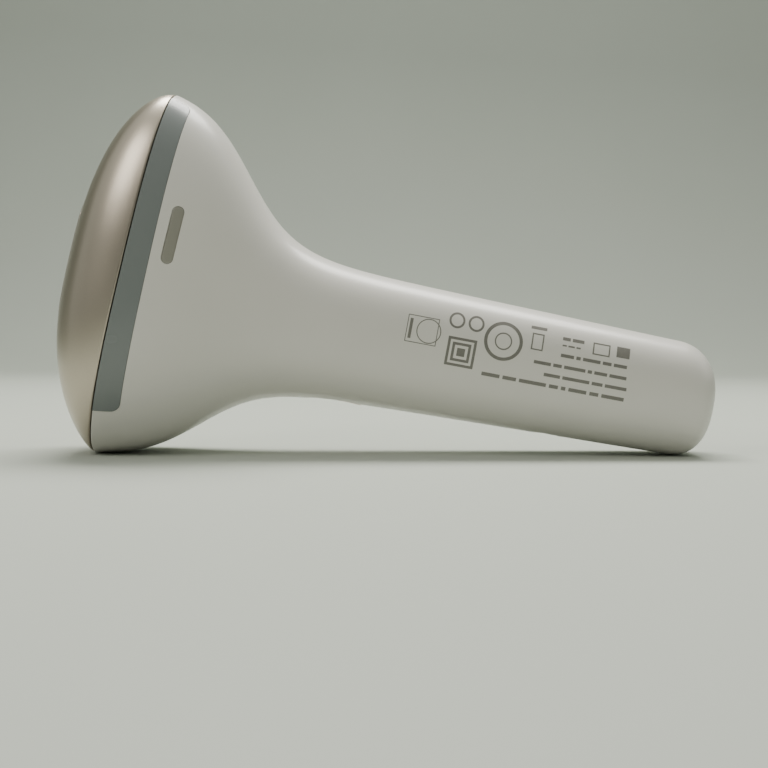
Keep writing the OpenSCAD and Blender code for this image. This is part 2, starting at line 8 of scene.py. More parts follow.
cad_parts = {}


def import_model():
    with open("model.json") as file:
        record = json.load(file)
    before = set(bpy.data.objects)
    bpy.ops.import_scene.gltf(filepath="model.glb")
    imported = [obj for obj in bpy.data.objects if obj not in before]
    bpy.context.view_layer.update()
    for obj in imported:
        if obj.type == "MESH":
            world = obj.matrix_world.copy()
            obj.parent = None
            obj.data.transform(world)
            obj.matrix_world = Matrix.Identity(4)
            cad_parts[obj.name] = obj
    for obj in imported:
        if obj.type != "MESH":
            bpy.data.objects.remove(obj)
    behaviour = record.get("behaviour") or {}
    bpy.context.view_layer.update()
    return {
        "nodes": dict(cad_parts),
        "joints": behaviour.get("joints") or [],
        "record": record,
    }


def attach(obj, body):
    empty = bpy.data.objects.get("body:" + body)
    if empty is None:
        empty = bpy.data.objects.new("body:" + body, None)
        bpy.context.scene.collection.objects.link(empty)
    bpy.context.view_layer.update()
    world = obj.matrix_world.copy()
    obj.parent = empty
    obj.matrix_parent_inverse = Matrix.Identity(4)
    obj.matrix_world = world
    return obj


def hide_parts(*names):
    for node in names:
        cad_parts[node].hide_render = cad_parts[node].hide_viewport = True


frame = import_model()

# ---- Places. All shapes are worked out in millimetres along the handle: x from the rim of the
# ---- head to the handle end, y across (near side negative), z up; world() lays them on the floor.
JOINTS = {j["name"]: j for j in frame["joints"]}
MOUNTS = {m["name"]: m for m in frame["record"]["mounts"]}
HANDLE_AXIS = JOINTS["fan_spin"]["axis"]
HEAD_AXIS = JOINTS["attachment_release"]["axis"]
TILT = math.atan2(-HANDLE_AXIS[2], HANDLE_AXIS[0])
LEAN = math.atan2(HEAD_AXIS[2], -HEAD_AXIS[0]) - TILT
INLET = (171.475, -2.0)      # middle of the inlet pin along the handle and above its axis
INLET_WORLD = MOUNTS["dc_inlet_pin"]["pos_m"]
MIDDLE = INLET[0] * math.cos(TILT) + INLET[1] * math.sin(TILT) - 1000 * INLET_WORLD[0]
GROUND = INLET[1] * math.cos(TILT) - INLET[0] * math.sin(TILT) - 1000 * INLET_WORLD[2]

# ---- The form of the casing and the dome, as in the CAD source
LENGTH = 179.0
WINDOW_Z = 6.0
WALL = 2.2
LEAN_LEN = 50.0
DOME_DEPTH = 19.8
DOME_MID = 5.9
SHELL_WALL = 1.8
BAND_WID = 7.0
BAND_LOW, BAND_UP = -43.0, 71.0
WINDOW = (32.0, 14.0, 2.5)    # length, width and corner radius of the opening
RING_WALL = 2.65
RING_FACE = -19.7
CROWN_R = 185.0
LENS = (12.4, 19.5, 17.0, 3.4)
CAP_Z = -2.0


def world(points):
    """Millimetres along the handle to metres in the row frame."""
    p = np.asarray(points, float)
    c, s = math.cos(TILT), math.sin(TILT)
    x = p[..., 0] * c + p[..., 2] * s - MIDDLE
    z = p[..., 2] * c - p[..., 0] * s - GROUND
    return np.stack([x, p[..., 1], z], -1) / 1000


def from_head(points):
    """Square to the leaning rim (x out of the rim's back, z along the head) to along the handle."""
    p = np.asarray(points, float)
    c, s = math.cos(LEAN), math.sin(LEAN)
    return np.stack([p[..., 0] * c + p[..., 2] * s, p[..., 1], WINDOW_Z + p[..., 2] * c - p[..., 0] * s], -1)


def step(x, mid, soft):
    return 1 / (1 + np.exp((x - mid) / soft))


def loss(x, r, inset):
    past = np.maximum(0, x - (LENGTH - r))
    return np.where(past > 0, r - np.sqrt(np.maximum(0, (r - inset) ** 2 - past ** 2)), inset)


def half_h(x):
    return 21.7 - 0.025 * x


def top_z(x, inset=0.0):
    return half_h(x) + 42.5 * step(x, 28.3, 9) - loss(x, 11.5, inset)


def low_z(x, inset=0.0):
    return loss(x, 8.5, inset) - half_h(x) - 28.5 * step(x, 26.9, 8.4)


def side_y(x, inset=0.0):
    return 17.6 - 0.012 * x + 10 * step(x, 24, 9) - loss(x, 5.5, inset)


def power_at(x):
    return 2.4 + 0.2 * step(x, 40, 8)


def bent(v, p):
    return np.sign(v) * np.abs(v) ** (2 / p)


def fade(x):
    return 1 - np.clip(x, 0, LEAN_LEN) / LEAN_LEN


def lean_x(x, z):
    return math.tan(LEAN) * (z - WINDOW_Z) * fade(x) ** 2


def skin(x, a, inset=0.0):
    """Points of the casing's skin at x and at angle a (radians) round the section."""
    x, a = np.broadcast_arrays(np.asarray(x, float), np.asarray(a, float))
    top, low, p = top_z(x, inset), low_z(x, inset), power_at(x)
    up = bent(np.sin(a), p)
    z = (top + low) / 2 + (top - low) / 2 * up
    y = side_y(x, inset) * bent(np.cos(a), p) * (1 - 0.1 * up * fade(x))
    return np.stack([x + lean_x(x, z), y, z], -1)


def near_skin(px, pz, inset=0.0):
    """Depth y of the near side's skin over the point (px, pz), with the point itself."""
    px, pz = np.broadcast_arrays(np.asarray(px, float), np.asarray(pz, float))
    x = px - math.tan(LEAN) * (pz - WINDOW_Z) * fade(px) ** 2
    for _ in range(4):
        x = px - lean_x(x, pz)
    top, low, p = top_z(x, inset), low_z(x, inset), power_at(x)
    up = np.clip((pz - (top + low) / 2) / ((top - low) / 2), -1, 1)
    across = (1 - np.abs(up) ** p) ** (1 / p)
    y = -side_y(x, inset) * across * (1 - 0.1 * up * fade(x))
    return np.stack([px, y, pz], -1)


def dome_falls(a):
    across = np.cos(a) ** 2
    power = 2.5 + 0.16 * np.sin(a) + 0.7 * across
    fall = (0.64 - 0.11 * np.sin(a)) * (1 - 0.22 * across)
    return power, fall


def dome_at(s, a, inset=0.0):
    """Points of the dome in direction a, s from 0 at the crest to 1 at the rim."""
    rim = skin(0 * a, a, inset)
    power, fall = dome_falls(a)
    z = DOME_MID + s * (rim[..., 2] - DOME_MID)
    drop = np.maximum(0, 1 - s ** power) ** fall
    x = math.tan(LEAN) * (z - WINDOW_Z) - (DOME_DEPTH - inset) * drop
    return np.stack([x, s * rim[..., 1], z], -1)


def dome_at_depth(depth, a, inset=0.0):
    """Points of the dome at a depth in front of the rim."""
    power, fall = dome_falls(a)
    s = (1 - np.clip(depth / (DOME_DEPTH - inset), 0, 1) ** (1 / fall)) ** (1 / power)
    return dome_at(s, a, inset)


def dome_over(y, z, inset=0.0):
    """The dome's point over the place (y, z)."""
    table_a = np.linspace(-math.pi, math.pi, 16001)
    rim = skin(0 * table_a, table_a, inset)
    towards = np.unwrap(np.arctan2(rim[:, 2] - DOME_MID, rim[:, 1]))
    wanted = np.arctan2(z - DOME_MID, y)
    wanted = np.where(wanted < towards[0], wanted + 2 * math.pi, wanted)
    wanted = np.where(wanted > towards[-1], wanted - 2 * math.pi, wanted)
    a = np.interp(wanted, towards, table_a)
    edge = skin(0 * a, a, inset)
    s = np.hypot(y, z - DOME_MID) / np.hypot(edge[..., 1], edge[..., 2] - DOME_MID)
    return dome_at(np.minimum(s, 1), a, inset)


def dome_over_head(y, along, inset=0.0):
    """Like dome_over, at a place given square to the rim. Gives the depth x there, square to the rim."""
    x = np.full_like(y, RING_FACE)
    for _ in range(4):
        on = dome_over(y, WINDOW_Z + along * math.cos(LEAN) - x * math.sin(LEAN), inset)
        x = on[..., 0] * math.cos(LEAN) - (on[..., 2] - WINDOW_Z) * math.sin(LEAN)
    return x


# ---- Mesh helpers
def grid(rows, cols, close_rows=False, close_cols=False, first=0):
    """Quads over rows x cols points laid out row by row."""
    faces = []
    for i in range(rows if close_rows else rows - 1):
        for j in range(cols if close_cols else cols - 1):
            a, b = i, (i + 1) % rows
            c, d = j, (j + 1) % cols
            faces.append((first + a * cols + c, first + a * cols + d,
                          first + b * cols + d, first + b * cols + c))
    return faces


def outward(mesh):
    """Turns a closed mesh's faces to look outwards."""
    mesh.calc_loop_triangles()
    co = np.array([v.co for v in mesh.vertices])
    tri = np.array([t.vertices for t in mesh.loop_triangles])
    a, b, c = co[tri[:, 0]], co[tri[:, 1]], co[tri[:, 2]]
    if np.einsum("ij,ij->i", a, np.cross(b, c)).sum() < 0:
        mesh.flip_normals()


def piece(name, points, faces, body=None, slot=None, nodes=(), sharp=38.0):
    """A new object from points along the handle, in millimetres."""
    mesh = bpy.data.meshes.new(name)
    mesh.from_pydata([tuple(p) for p in world(points)], [], faces)
    mesh.validate()
    outward(mesh)
    obj = bpy.data.objects.new(name, mesh)
    bpy.context.scene.collection.objects.link(obj)
    finish_piece(obj, body, slot, nodes, sharp)
    return obj


def finish_piece(obj, body, slot, nodes, sharp):
    mesh = obj.data
    mesh.shade_smooth()
    mesh.set_sharp_from_angle(angle=math.radians(sharp))
    if slot:
        mesh.materials.clear()
        mesh.materials.append(material(slot))
    if nodes:
        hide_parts(*nodes)
    if body:
        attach(obj, body)


def joined(parts):
    """One list of points and one of faces out of several (points, faces) pairs."""
    points, faces = [], []
    for p, f in parts:
        first = sum(len(q) for q in points)
        points.append(np.asarray(p, float).reshape(-1, 3))
        faces += [tuple(first + i for i in face) for face in f]
    return np.concatenate(points), faces


def tube_rows(rows, caps=True):
    """A closed solid through rings of points."""
    rows = np.asarray(rows, float)
    m, n = rows.shape[:2]
    faces = grid(m, n, close_cols=True)
    if caps:
        faces += [tuple(range(n - 1, -1, -1)), tuple((m - 1) * n + j for j in range(n))]
    return rows.reshape(-1, 3), faces


def ring_rows(rows):
    """A closed ring: rows of points round an opening, the last row joined to the first."""
    rows = np.asarray(rows, float)
    m, n = rows.shape[:2]
    return rows.reshape(-1, 3), grid(m, n, close_rows=True, close_cols=True)


def oblong(length, width, r, corner=10, side=14):
    """Points round a rounded rectangle, as (along, across); always the same number."""
    points = []
    for k, (sa, sb) in enumerate([(1, 1), (-1, 1), (-1, -1), (1, -1)]):
        centre = np.array([sa * (length / 2 - r), sb * (width / 2 - r)])
        turn = np.radians(np.linspace(0, 90, corner) + 90 * k)
        arc = centre + r * np.stack([np.cos(turn), np.sin(turn)], -1)
        points.append(arc)
        nxt = [(-1, 1), (-1, -1), (1, -1), (1, 1)][k]
        goal = np.array([nxt[0] * (length / 2 - r), nxt[1] * (width / 2 - r)])
        turn_end = math.radians(90 * (k + 1))
        goal = goal + r * np.array([math.cos(turn_end), math.sin(turn_end)])
        t = np.linspace(0, 1, side + 2)[1:-1, None]
        points.append(arc[-1] + (goal - arc[-1]) * t)
    return np.concatenate(points)


def round_over(r, steps=5):
    """Quarter circle from a wall (0, r) to a face (r, 0), as (inwards, down) pairs."""
    turn = np.radians(np.linspace(0, 90, steps))
    return [(r * (1 - math.cos(t)), r * (1 - math.sin(t))) for t in turn]


def facing_out(points, faces):
    """A closed solid with its faces turned outwards."""
    p = np.asarray(points, float).reshape(-1, 3)
    total = sum(np.dot(p[f[0]], np.cross(p[f[k]], p[f[k + 1]])) for f in faces for k in range(1, len(f) - 1))
    return p, faces if total > 0 else [tuple(reversed(f)) for f in faces]


def cut(obj, cutters):
    """Cuts closed solids, given as (points, faces), out of an object."""
    points, faces = joined([facing_out(*c) for c in cutters])
    tool = piece(obj.name + "_cutter", points, faces)
    rule = obj.modifiers.new("cut", "BOOLEAN")
    rule.operation = "DIFFERENCE"
    rule.solver = "EXACT"
    rule.object = tool
    bpy.context.view_layer.update()
    depsgraph = bpy.context.evaluated_depsgraph_get()
    result = bpy.data.meshes.new_from_object(obj.evaluated_get(depsgraph), depsgraph=depsgraph)
    obj.modifiers.clear()
    old = obj.data
    obj.data = result
    bpy.data.meshes.remove(old)
    bpy.data.objects.remove(tool)


def mirrored(points):
    return np.asarray(points, float) * [1, -1, 1]


# ---- Materials
LOOKS = {
    # slot: colour, metallic, roughness, kind of surface, its scale per metre, its strength, mottle
    "white_plastic": ((0.76, 0.735, 0.685), 0.0, 0.33, "spark", 2600, 0.035, 0.03),
    "champagne": ((0.55, 0.485, 0.40), 0.92, 0.34, "flake", 5200, 0.05, 0.05),
    "polished_champagne": ((0.80, 0.69, 0.60), 1.0, 0.13, "spark", 900, 0.01, 0.03),
    "band_grey": ((0.205, 0.225, 0.222), 0.0, 0.27, "spark", 3000, 0.03, 0.04),
    "ready_lens": ((0.30, 0.29, 0.25), 0.0, 0.24, "spark", 2000, 0.01, 0.05),
    "inner_white": ((0.60, 0.60, 0.58), 0.0, 0.52, "spark", 1800, 0.08, 0.04),
    "black_plastic": ((0.018, 0.018, 0.02), 0.0, 0.5, "spark", 1900, 0.1, 0.08),
    "button_metallic": ((0.62, 0.52, 0.45), 0.9, 0.33, "flake", 5200, 0.05, 0.04),
    "button_grey": ((0.20, 0.235, 0.25), 0.0, 0.4, "spark", 2600, 0.05, 0.04),
    "clear_guide": ((0.85, 0.88, 0.88), 0.0, 0.45, "spark", 2200, 0.05, 0.03),
    "filter_glass": ((0.72, 0.25, 0.06), 0.0, 0.06, "smooth", 300, 0.01, 0.06),
    "quartz": ((0.88, 0.92, 0.94), 0.0, 0.04, "smooth", 300, 0.01, 0.02),
    "mirror_metal": ((0.86, 0.87, 0.88), 1.0, 0.12, "brushed", 1400, 0.03, 0.03),
    "aluminium": ((0.68, 0.69, 0.70), 1.0, 0.34, "brushed", 1700, 0.06, 0.06),
    "steel": ((0.55, 0.55, 0.56), 1.0, 0.26, "brushed", 2200, 0.05, 0.06),
    "gold_contact": ((0.83, 0.58, 0.22), 1.0, 0.22, "brushed", 2000, 0.03, 0.05),
    "ceramic": ((0.74, 0.71, 0.65), 0.0, 0.6, "spark", 1500, 0.12, 0.06),
    "circuit_board": ((0.015, 0.115, 0.05), 0.0, 0.3, "traces", 420, 0.12, 0.35),
    "sleeve_film": ((0.025, 0.03, 0.11), 0.0, 0.22, "wrinkle", 240, 0.08, 0.1),
    "winding": ((0.55, 0.2, 0.06), 0.7, 0.3, "wound", 1500, 0.5, 0.15),
    "led": ((0.85, 0.83, 0.66), 0.0, 0.18, "smooth", 800, 0.02, 0.05),
    "lead_red": ((0.3, 0.015, 0.015), 0.0, 0.42, "spark", 1400, 0.05, 0.06),
}
CLEAR = {"filter_glass": 0.6, "quartz": 0.9, "clear_guide": 0.35, "ready_lens": 0.0, "led": 0.25}
COAT = {"champagne": 0.35, "button_metallic": 0.3, "ready_lens": 0.5, "white_plastic": 0.12, "band_grey": 0.2}
MADE = {}


def texture(tree, kind, scale, at):
    """A procedural height pattern of that kind; gives its output socket."""
    nodes, links = tree.nodes, tree.links
    if kind in ("brushed", "wound"):
        stretch = nodes.new("ShaderNodeMapping")
        stretch.inputs["Scale"].default_value = (1, 0.06, 0.06) if kind == "wound" else (0.05, 1, 1)
        stretch.inputs["Rotation"].default_value = (0, TILT, 0)
        links.new(at, stretch.inputs["Vector"])
        at = stretch.outputs["Vector"]
    if kind == "wound":
        wave = nodes.new("ShaderNodeTexWave")
        wave.bands_direction = "X"
        wave.inputs["Scale"].default_value = scale
        wave.inputs["Distortion"].default_value = 0.4
        links.new(at, wave.inputs["Vector"])
        return wave.outputs["Fac"]
    if kind in ("flake", "traces"):
        cells = nodes.new("ShaderNodeTexVoronoi")
        cells.feature = "F1"
        cells.distance = "MANHATTAN" if kind == "traces" else "EUCLIDEAN"
        cells.inputs["Scale"].default_value = scale
        links.new(at, cells.inputs["Vector"])
        return cells.outputs["Distance"]
    noise = nodes.new("ShaderNodeTexNoise")
    noise.inputs["Scale"].default_value = scale
    noise.inputs["Detail"].default_value = 2.0 if kind == "smooth" else 4.0
    noise.inputs["Distortion"].default_value = 1.2 if kind == "wrinkle" else 0.0
    links.new(at, noise.inputs["Vector"])
    return noise.outputs["Fac"]


def ranged(tree, value, low, high):
    node = tree.nodes.new("ShaderNodeMapRange")
    node.inputs["To Min"].default_value = low
    node.inputs["To Max"].default_value = high
    tree.links.new(value, node.inputs["Value"])
    return node.outputs["Result"]


def material(slot):
    """The procedural material of one of the record's slots."""
    if slot in MADE:
        return MADE[slot]
    colour, metallic, rough, kind, scale, strength, mottle = LOOKS[slot]
    mat = bpy.data.materials.new("look_" + slot)
    mat.use_nodes = True
    tree = mat.node_tree
    shader = tree.nodes["Principled BSDF"]
    shader.inputs["Base Color"].default_value = (*colour, 1)
    shader.inputs["Metallic"].default_value = metallic
    shader.inputs["Roughness"].default_value = rough
    shader.inputs["Transmission Weight"].default_value = CLEAR.get(slot, 0)
    shader.inputs["Coat Weight"].default_value = COAT.get(slot, 0)
    shader.inputs["Coat Roughness"].default_value = 0.18
    place = tree.nodes.new("ShaderNodeTexCoord").outputs["Object"]
    height = texture(tree, kind, scale, place)
    bump = tree.nodes.new("ShaderNodeBump")
    bump.inputs["Strength"].default_value = strength
    bump.inputs["Distance"].default_value = 0.0002
    tree.links.new(height, bump.inputs["Height"])
    tree.links.new(bump.outputs["Normal"], shader.inputs["Normal"])
    cloud = tree.nodes.new("ShaderNodeTexNoise")
    cloud.inputs["Scale"].default_value = 38
    cloud.inputs["Detail"].default_value = 3
    tree.links.new(place, cloud.inputs["Vector"])
    tree.links.new(ranged(tree, cloud.outputs["Fac"], rough * 0.9, rough * 1.1), shader.inputs["Roughness"])
    mix = tree.nodes.new("ShaderNodeMix")
    mix.data_type = "RGBA"
    mix.inputs["A"].default_value = (*[c * (1 - mottle) for c in colour], 1)
    mix.inputs["B"].default_value = (*[min(1, c * (1 + mottle)) for c in colour], 1)
    tree.links.new(height if mottle > 0.1 or kind == "flake" else cloud.outputs["Fac"], mix.inputs["Factor"])
    tree.links.new(mix.outputs["Result"], shader.inputs["Base Color"])
    MADE[slot] = mat
    return mat


def paint_cad_nodes():
    """Gives every CAD node that stays the material of its own slot."""
    for part in frame["record"]["subparts"]:
        mesh = frame["nodes"][part["node"]].data
        if not mesh.materials:
            mesh.materials.append(None)
        for k in range(len(mesh.materials)):
            mesh.materials[k] = material(part["material_slot"])


# ---- Casing
# distance from the mid plane, and depth of the parting line
SEAM = [(0.03, 0.16), (0.10, 0.05), (0.22, 0.0)]


def half_turn(count=132):
    """Angles from top to bottom round the far side, evenly spaced along a mid section."""
    fine = np.linspace(math.pi / 2, -math.pi / 2, 6001)
    loop = skin(np.full_like(fine, 14.0), fine)[:, 1:] + 0.35 * skin(np.full_like(fine, 90.0), fine)[:, 1:]
    run = np.concatenate([[0], np.cumsum(np.hypot(*np.diff(loop, axis=0).T))])
    return np.interp(np.linspace(0, run[-1], count + 2)[1:-1], run, fine)


def casing_row(x, inset, turn):
    """One row of the far half, with the parting line at both ends."""
    body = skin(np.full_like(turn, x), turn, inset)
    p = float(power_at(np.array(x)))
    ends = []
    for sign in (1, -1):
        edge = []
        for off, groove in SEAM:
            deep = inset + (groove if inset < 0.5 else 0)
            reach = math.asin(min(1.0, (off / float(side_y(np.array(float(x)), inset))) ** (p / 2)))
            edge.append(skin(x, sign * (math.pi / 2 - reach), deep))
        ends.append(edge)
    return np.array([*ends[0], *body, *ends[1][::-1]])


def end_row(x, turn, share, inset, hole_r):
    """A row of the handle's end face, between its outline and the round hole for the cap."""
    outline = casing_row(x, inset, turn)
    outline[:, 0] = x
    angle = np.arctan2(outline[:, 2] - CAP_Z, outline[:, 1])
    hole = np.stack([np.full_like(angle, x), hole_r * np.cos(angle), CAP_Z + hole_r * np.sin(angle)], -1)
    return outline + (hole - outline) * share


def casing_half(name, side):
    """A high-resolution half of the casing, with its wall, rim, parting line and cut-outs."""
    turn = half_turn()
    lip = 0.4
    roll = round_over(lip, 6)
    out_x = np.concatenate([np.arange(0.9, 62, 0.95), np.arange(63, LENGTH - 13, 2.2),
                            LENGTH - 12 * (1 - np.sin(np.radians(np.linspace(2, 90, 30))))])
    in_x = np.concatenate([np.arange(1.6, 62, 2.0), np.arange(64, LENGTH - 16, 6),
                           LENGTH - WALL - 11 * (1 - np.sin(np.radians(np.linspace(4, 90, 12))))])
    rows = [casing_row(0, 1.2, turn)]
    rows += [casing_row(back, inset, turn) for back, inset in [(d, i) for i, d in roll]][::-1]
    rows += [casing_row(x, 0, turn) for x in out_x]
    rows += [end_row(LENGTH, turn, share, 0, 6.45) for share in (0.12, 0.4, 0.7, 0.96, 1.0)]
    rows += [end_row(LENGTH - WALL, turn, share, WALL, 6.45) for share in (1.0, 0.5, 0.0)]
    rows += [casing_row(x, WALL, turn) for x in in_x[-2::-1]]
    rows += [casing_row(0.3, WALL, turn), casing_row(0, WALL - 0.3, turn)]
    rows = np.array(rows)
    m, n = rows.shape[:2]
    faces = grid(m, n, close_rows=True)
    for column in (0, n - 1):
        loop = [Vector((p[0], p[2], 0)) for p in rows[:, column]]
        faces += [tuple(k * n + column for k in tri) for tri in tessellate_polygon([loop])]
    points = rows.reshape(-1, 3)
    if side < 0:
        points = mirrored(points)
    obj = piece(name, points, faces)
    cut(obj, casing_cutters(side))
    finish_piece(obj, "handpiece", "white_plastic", [name.replace("_cover", "")], 32)
    return obj


def prism(outline, frame_at, low, high):
    """A prism from an outline: frame_at(outline, height) gives its points."""
    return tube_rows([frame_at(outline, low), frame_at(outline, high)])


def pill(length, width, n=14):
    """Oblong outline with round ends, as (along, across)."""
    turn = np.linspace(-90, 90, n)
    right = [((length - width) / 2 + width / 2 * math.cos(math.radians(t)),
              width / 2 * math.sin(math.radians(t))) for t in turn]
    return np.array(right + [(-a, -b) for a, b in right])


def downward(centre_x):
    """Places an outline under the handle, at centre_x, at a height z."""
    def place(outline, z):
        return np.stack([centre_x + outline[:, 0], outline[:, 1], np.full(len(outline), z)], -1)
    return place


def circle(r, n=48):
    turn = np.radians(np.arange(n) * 360 / n + 3)
    return np.stack([r * np.cos(turn), r * np.sin(turn)], -1)


def underside_cutters(side):
    cutters = [prism(pill(18.6, 10.6, 24), downward(66), -40, -13.5),
               prism(circle(4.8), downward(132), -40, -11.5)]
    cutters += [prism(circle(1.25, 24), downward(88 + 6 * k), -40, -13) for k in range(5)]
    for k in range(5 if side > 0 else 0):
        for centre, middle, length, wide, high in ((14.9 + 4.4 * k, 7.5, 9, 1.8, -22),
                                                   (144.7 + 3.6 * k, 6.5, 7, 1.4, -10)):
            vent = pill(length, wide, 10)[:, ::-1] * [1, -1] + [0, middle]
            cutters.append(prism(vent, downward(centre), -70, high))
    return cutters


def casing_cutters(side):
    local = [band_solid(0.09, -1.5, 1.35, 0.02), lens_prism(0.06)]
    if side < 0:
        local = [(mirrored(p), f) for p, f in local]
    return local + underside_cutters(side)


# ---- Side bands and ready lights
def band_solid(grow, front, deep, edge):
    """The coloured band on the far side, grown all round, from x = front, down to deep below the skin."""
    corner = 2.2
    low, up = math.radians(BAND_LOW), math.radians(BAND_UP)
    fine = np.linspace(low, up, 4001)
    edge_line = skin(np.full_like(fine, BAND_WID), fine)
    run = np.concatenate([[0], np.cumsum(np.linalg.norm(np.diff(edge_line, axis=0), axis=1))])
    total = run[-1]
    near_end = np.array([0, 0.04, 0.1, 0.2, 0.35, 0.55, 0.8, 1.1, 1.45, 1.8, 2.2])
    along = np.concatenate([near_end, np.linspace(3.2, total - 3.2, 110), total - near_end[::-1]])
    slope = (up - low) / total
    arc = np.interp(along, run, fine)
    arc[0] -= grow * slope
    arc[-1] += grow * slope
    from_end = np.minimum(along, total - along)
    rounding = np.sqrt(np.maximum(corner ** 2 - (corner - from_end) ** 2, 0))
    reach = BAND_WID + grow - np.where(from_end < corner, corner - rounding, 0)
    share = np.array([0, 0.03, 0.08, 0.3, 0.6, 0.85, 0.96, 0.985, 1.0])
    top, base = [], []
    for a, wide, end in zip(arc, reach, from_end):
        x = front + (wide - front) * share
        x[-2] = x[-1] - 0.12
        sink = np.where(share == 1.0, edge, 0.0) + (edge if end == 0 else 0.0)
        angle = np.full_like(x, a)
        lift = np.array([skin(max(xx, 0), aa, ss) + [min(xx, 0), 0, 0] for xx, aa, ss in zip(x, angle, sink)])
        under = np.array([skin(max(xx, 0), aa, deep) + [min(xx, 0), 0, 0] for xx, aa in zip(x, angle)])
        if edge < 0.05:    # a cutter stands out of the skin
            lift = np.array([skin(max(xx, 0), aa, -1.5) + [min(xx, 0), 0, 0] for xx, aa in zip(x, angle)])
        top.append(lift)
        base.append(under)
    m, n = len(arc), len(share)
    points = np.concatenate([np.array(top).reshape(-1, 3), np.array(base).reshape(-1, 3)])
    faces = grid(m, n) + [tuple(reversed(f)) for f in grid(m, n, first=m * n)]
    border = [j for j in range(n)] + [i * n + n - 1 for i in range(1, m)]
    border += [(m - 1) * n + j for j in range(n - 2, -1, -1)] + [i * n for i in range(m - 2, 0, -1)]
    for k, a in enumerate(border):
        b = border[(k + 1) % len(border)]
        faces.append((b, a, m * n + a, m * n + b))
    return points, faces


def side_band(name, side):
    points, faces = band_solid(0.0, 0.0, 1.2, 0.1)
    piece(name + "_trim", points if side > 0 else mirrored(points), faces,
          "handpiece", "band_grey", [name], 40)


def lens_outline(grow):
    along, across = (LENS[2] + 2 * grow, LENS[3] + 2 * grow)
    flat = pill(along, across, 16)
    c, s = math.cos(LEAN), math.sin(LEAN)
    return np.stack([LENS[0] + flat[:, 0] * s + flat[:, 1] * c,
                     LENS[1] + flat[:, 0] * c - flat[:, 1] * s], -1)


def lens_prism(grow):
    outline = lens_outline(grow)
    rows = [np.stack([outline[:, 0], np.full(len(outline), y), outline[:, 1]], -1) for y in (15.0, 40.0)]
    return tube_rows(rows)


def ready_lens(name, side):
    """The ready light's window: a pill flush with the skin, with softly rounded edges."""
    rows = []
    for grow, inset in [(0, 2.0), (0, 0.25), (-0.04, 0.12), (-0.12, 0.05),
                        (-0.3, 0.0), (-0.7, -0.02), (-1.2, -0.03), (-1.6, -0.03)]:
        outline = lens_outline(grow)
        rows.append(near_skin(outline[:, 0], outline[:, 1], inset))
    points, faces = tube_rows(rows)
    piece(name + "_window", points if side < 0 else mirrored(points), faces,
          "handpiece", "ready_lens", [name], 30)


# ---- Attachment
def head_oblong(grow_along, grow_across, r):
    """Outline round the window's axis, grown from the window: (along, across)."""
    return oblong(WINDOW[0] + 2 * grow_along, WINDOW[1] + 2 * grow_across, r, corner=16, side=26)


def window_grow(off):
    return head_oblong(off, off, WINDOW[2] + off)


def at_head(outline, depth):
    """Points square to the rim at a depth, from an outline given as (along, across)."""
    depth = np.broadcast_to(depth, (len(outline),))
    return from_head(np.stack([depth, outline[:, 1], outline[:, 0]], -1))


def ray_hit(outline, y, along):
    """Where rays from the outline's centre towards (along, y) cross it."""
    closed = np.concatenate([outline, outline[:1]])
    angle = np.unwrap(np.arctan2(closed[:, 1], closed[:, 0]))
    wanted = np.arctan2(y, along)
    wanted = angle[0] + np.mod(wanted - angle[0], 2 * math.pi)
    radius = np.interp(wanted, angle, np.hypot(closed[:, 0], closed[:, 1]))
    return np.stack([radius * np.cos(wanted), radius * np.sin(wanted)], -1)


def attachment_cover():
    """The champagne dome, from the polished bezel round the window out to the rim."""
    a = np.linspace(-math.pi, math.pi, 321)[:-1]
    rim = skin(0 * a, a)
    hole_outline = window_grow(RING_WALL + 0.35 + 0.7 + 0.05)
    spot = ray_hit(hole_outline, rim[:, 1], (rim[:, 2] - WINDOW_Z))
    rows = []

    def sheet(inset, edge_depth, shares):
        start_x = dome_over_head(spot[:, 1], spot[:, 0], inset)
        start_z = WINDOW_Z + spot[:, 0] * math.cos(LEAN) - start_x * math.sin(LEAN)
        stop = dome_at_depth(np.full_like(a, edge_depth), a, inset)
        out = []
        for t in shares:
            y = spot[:, 1] + (stop[:, 1] - spot[:, 1]) * t
            z = start_z + (stop[:, 2] - start_z) * t
            out.append(dome_over(y, z, inset))
        return out

    shares = np.sin(np.radians(np.linspace(0, 90, 46)))
    outer = sheet(0.0, 0.9, shares)
    outer[0] = dome_over(spot[:, 1], outer[0][:, 2], 0.22)
    outer[1] = outer[1] * 0.25 + sheet(0.0, 0.9, [0.004])[0] * 0.75
    rows += outer
    for depth, inset in [(0.75, 0.01), (0.6, 0.05), (0.48, 0.13), (0.4, 0.24),
                         (0.36, 0.4), (0.36, 1.5), (0.5, 1.75)]:
        rows.append(dome_at_depth(np.full_like(a, depth), a, inset))
    rows += sheet(SHELL_WALL, 0.9, shares[::-3])
    points, faces = ring_rows(rows)
    piece("attachment_cover", points, faces, "attachment", "champagne", ["attachment_shell"], 40)


def bezel():
    """The polished rim of the window, its edges rolled over."""
    inner = RING_WALL + 0.35
    rows = []
    for off, drop in [(0, None), (0, 0.30), (0.04, 0.14), (0.14, 0.03), (0.3, -0.03),
                      (0.45, -0.03), (0.58, 0.04), (0.67, 0.16), (0.7, 0.3), (0.7, None)]:
        outline = window_grow(inner + off)
        if drop is None:
            depth = np.full(len(outline), -15.7)
        else:
            depth = dome_over_head(outline[:, 1], outline[:, 0], -0.28) + drop
        rows.append(at_head(outline, depth))
    points, faces = ring_rows(rows)
    piece("window_bezel_trim", points, faces, "attachment", "polished_champagne", ["window_bezel"], 40)


def crown(outline):
    return RING_FACE + CROWN_R - np.sqrt(CROWN_R ** 2 - outline[:, 0] ** 2)


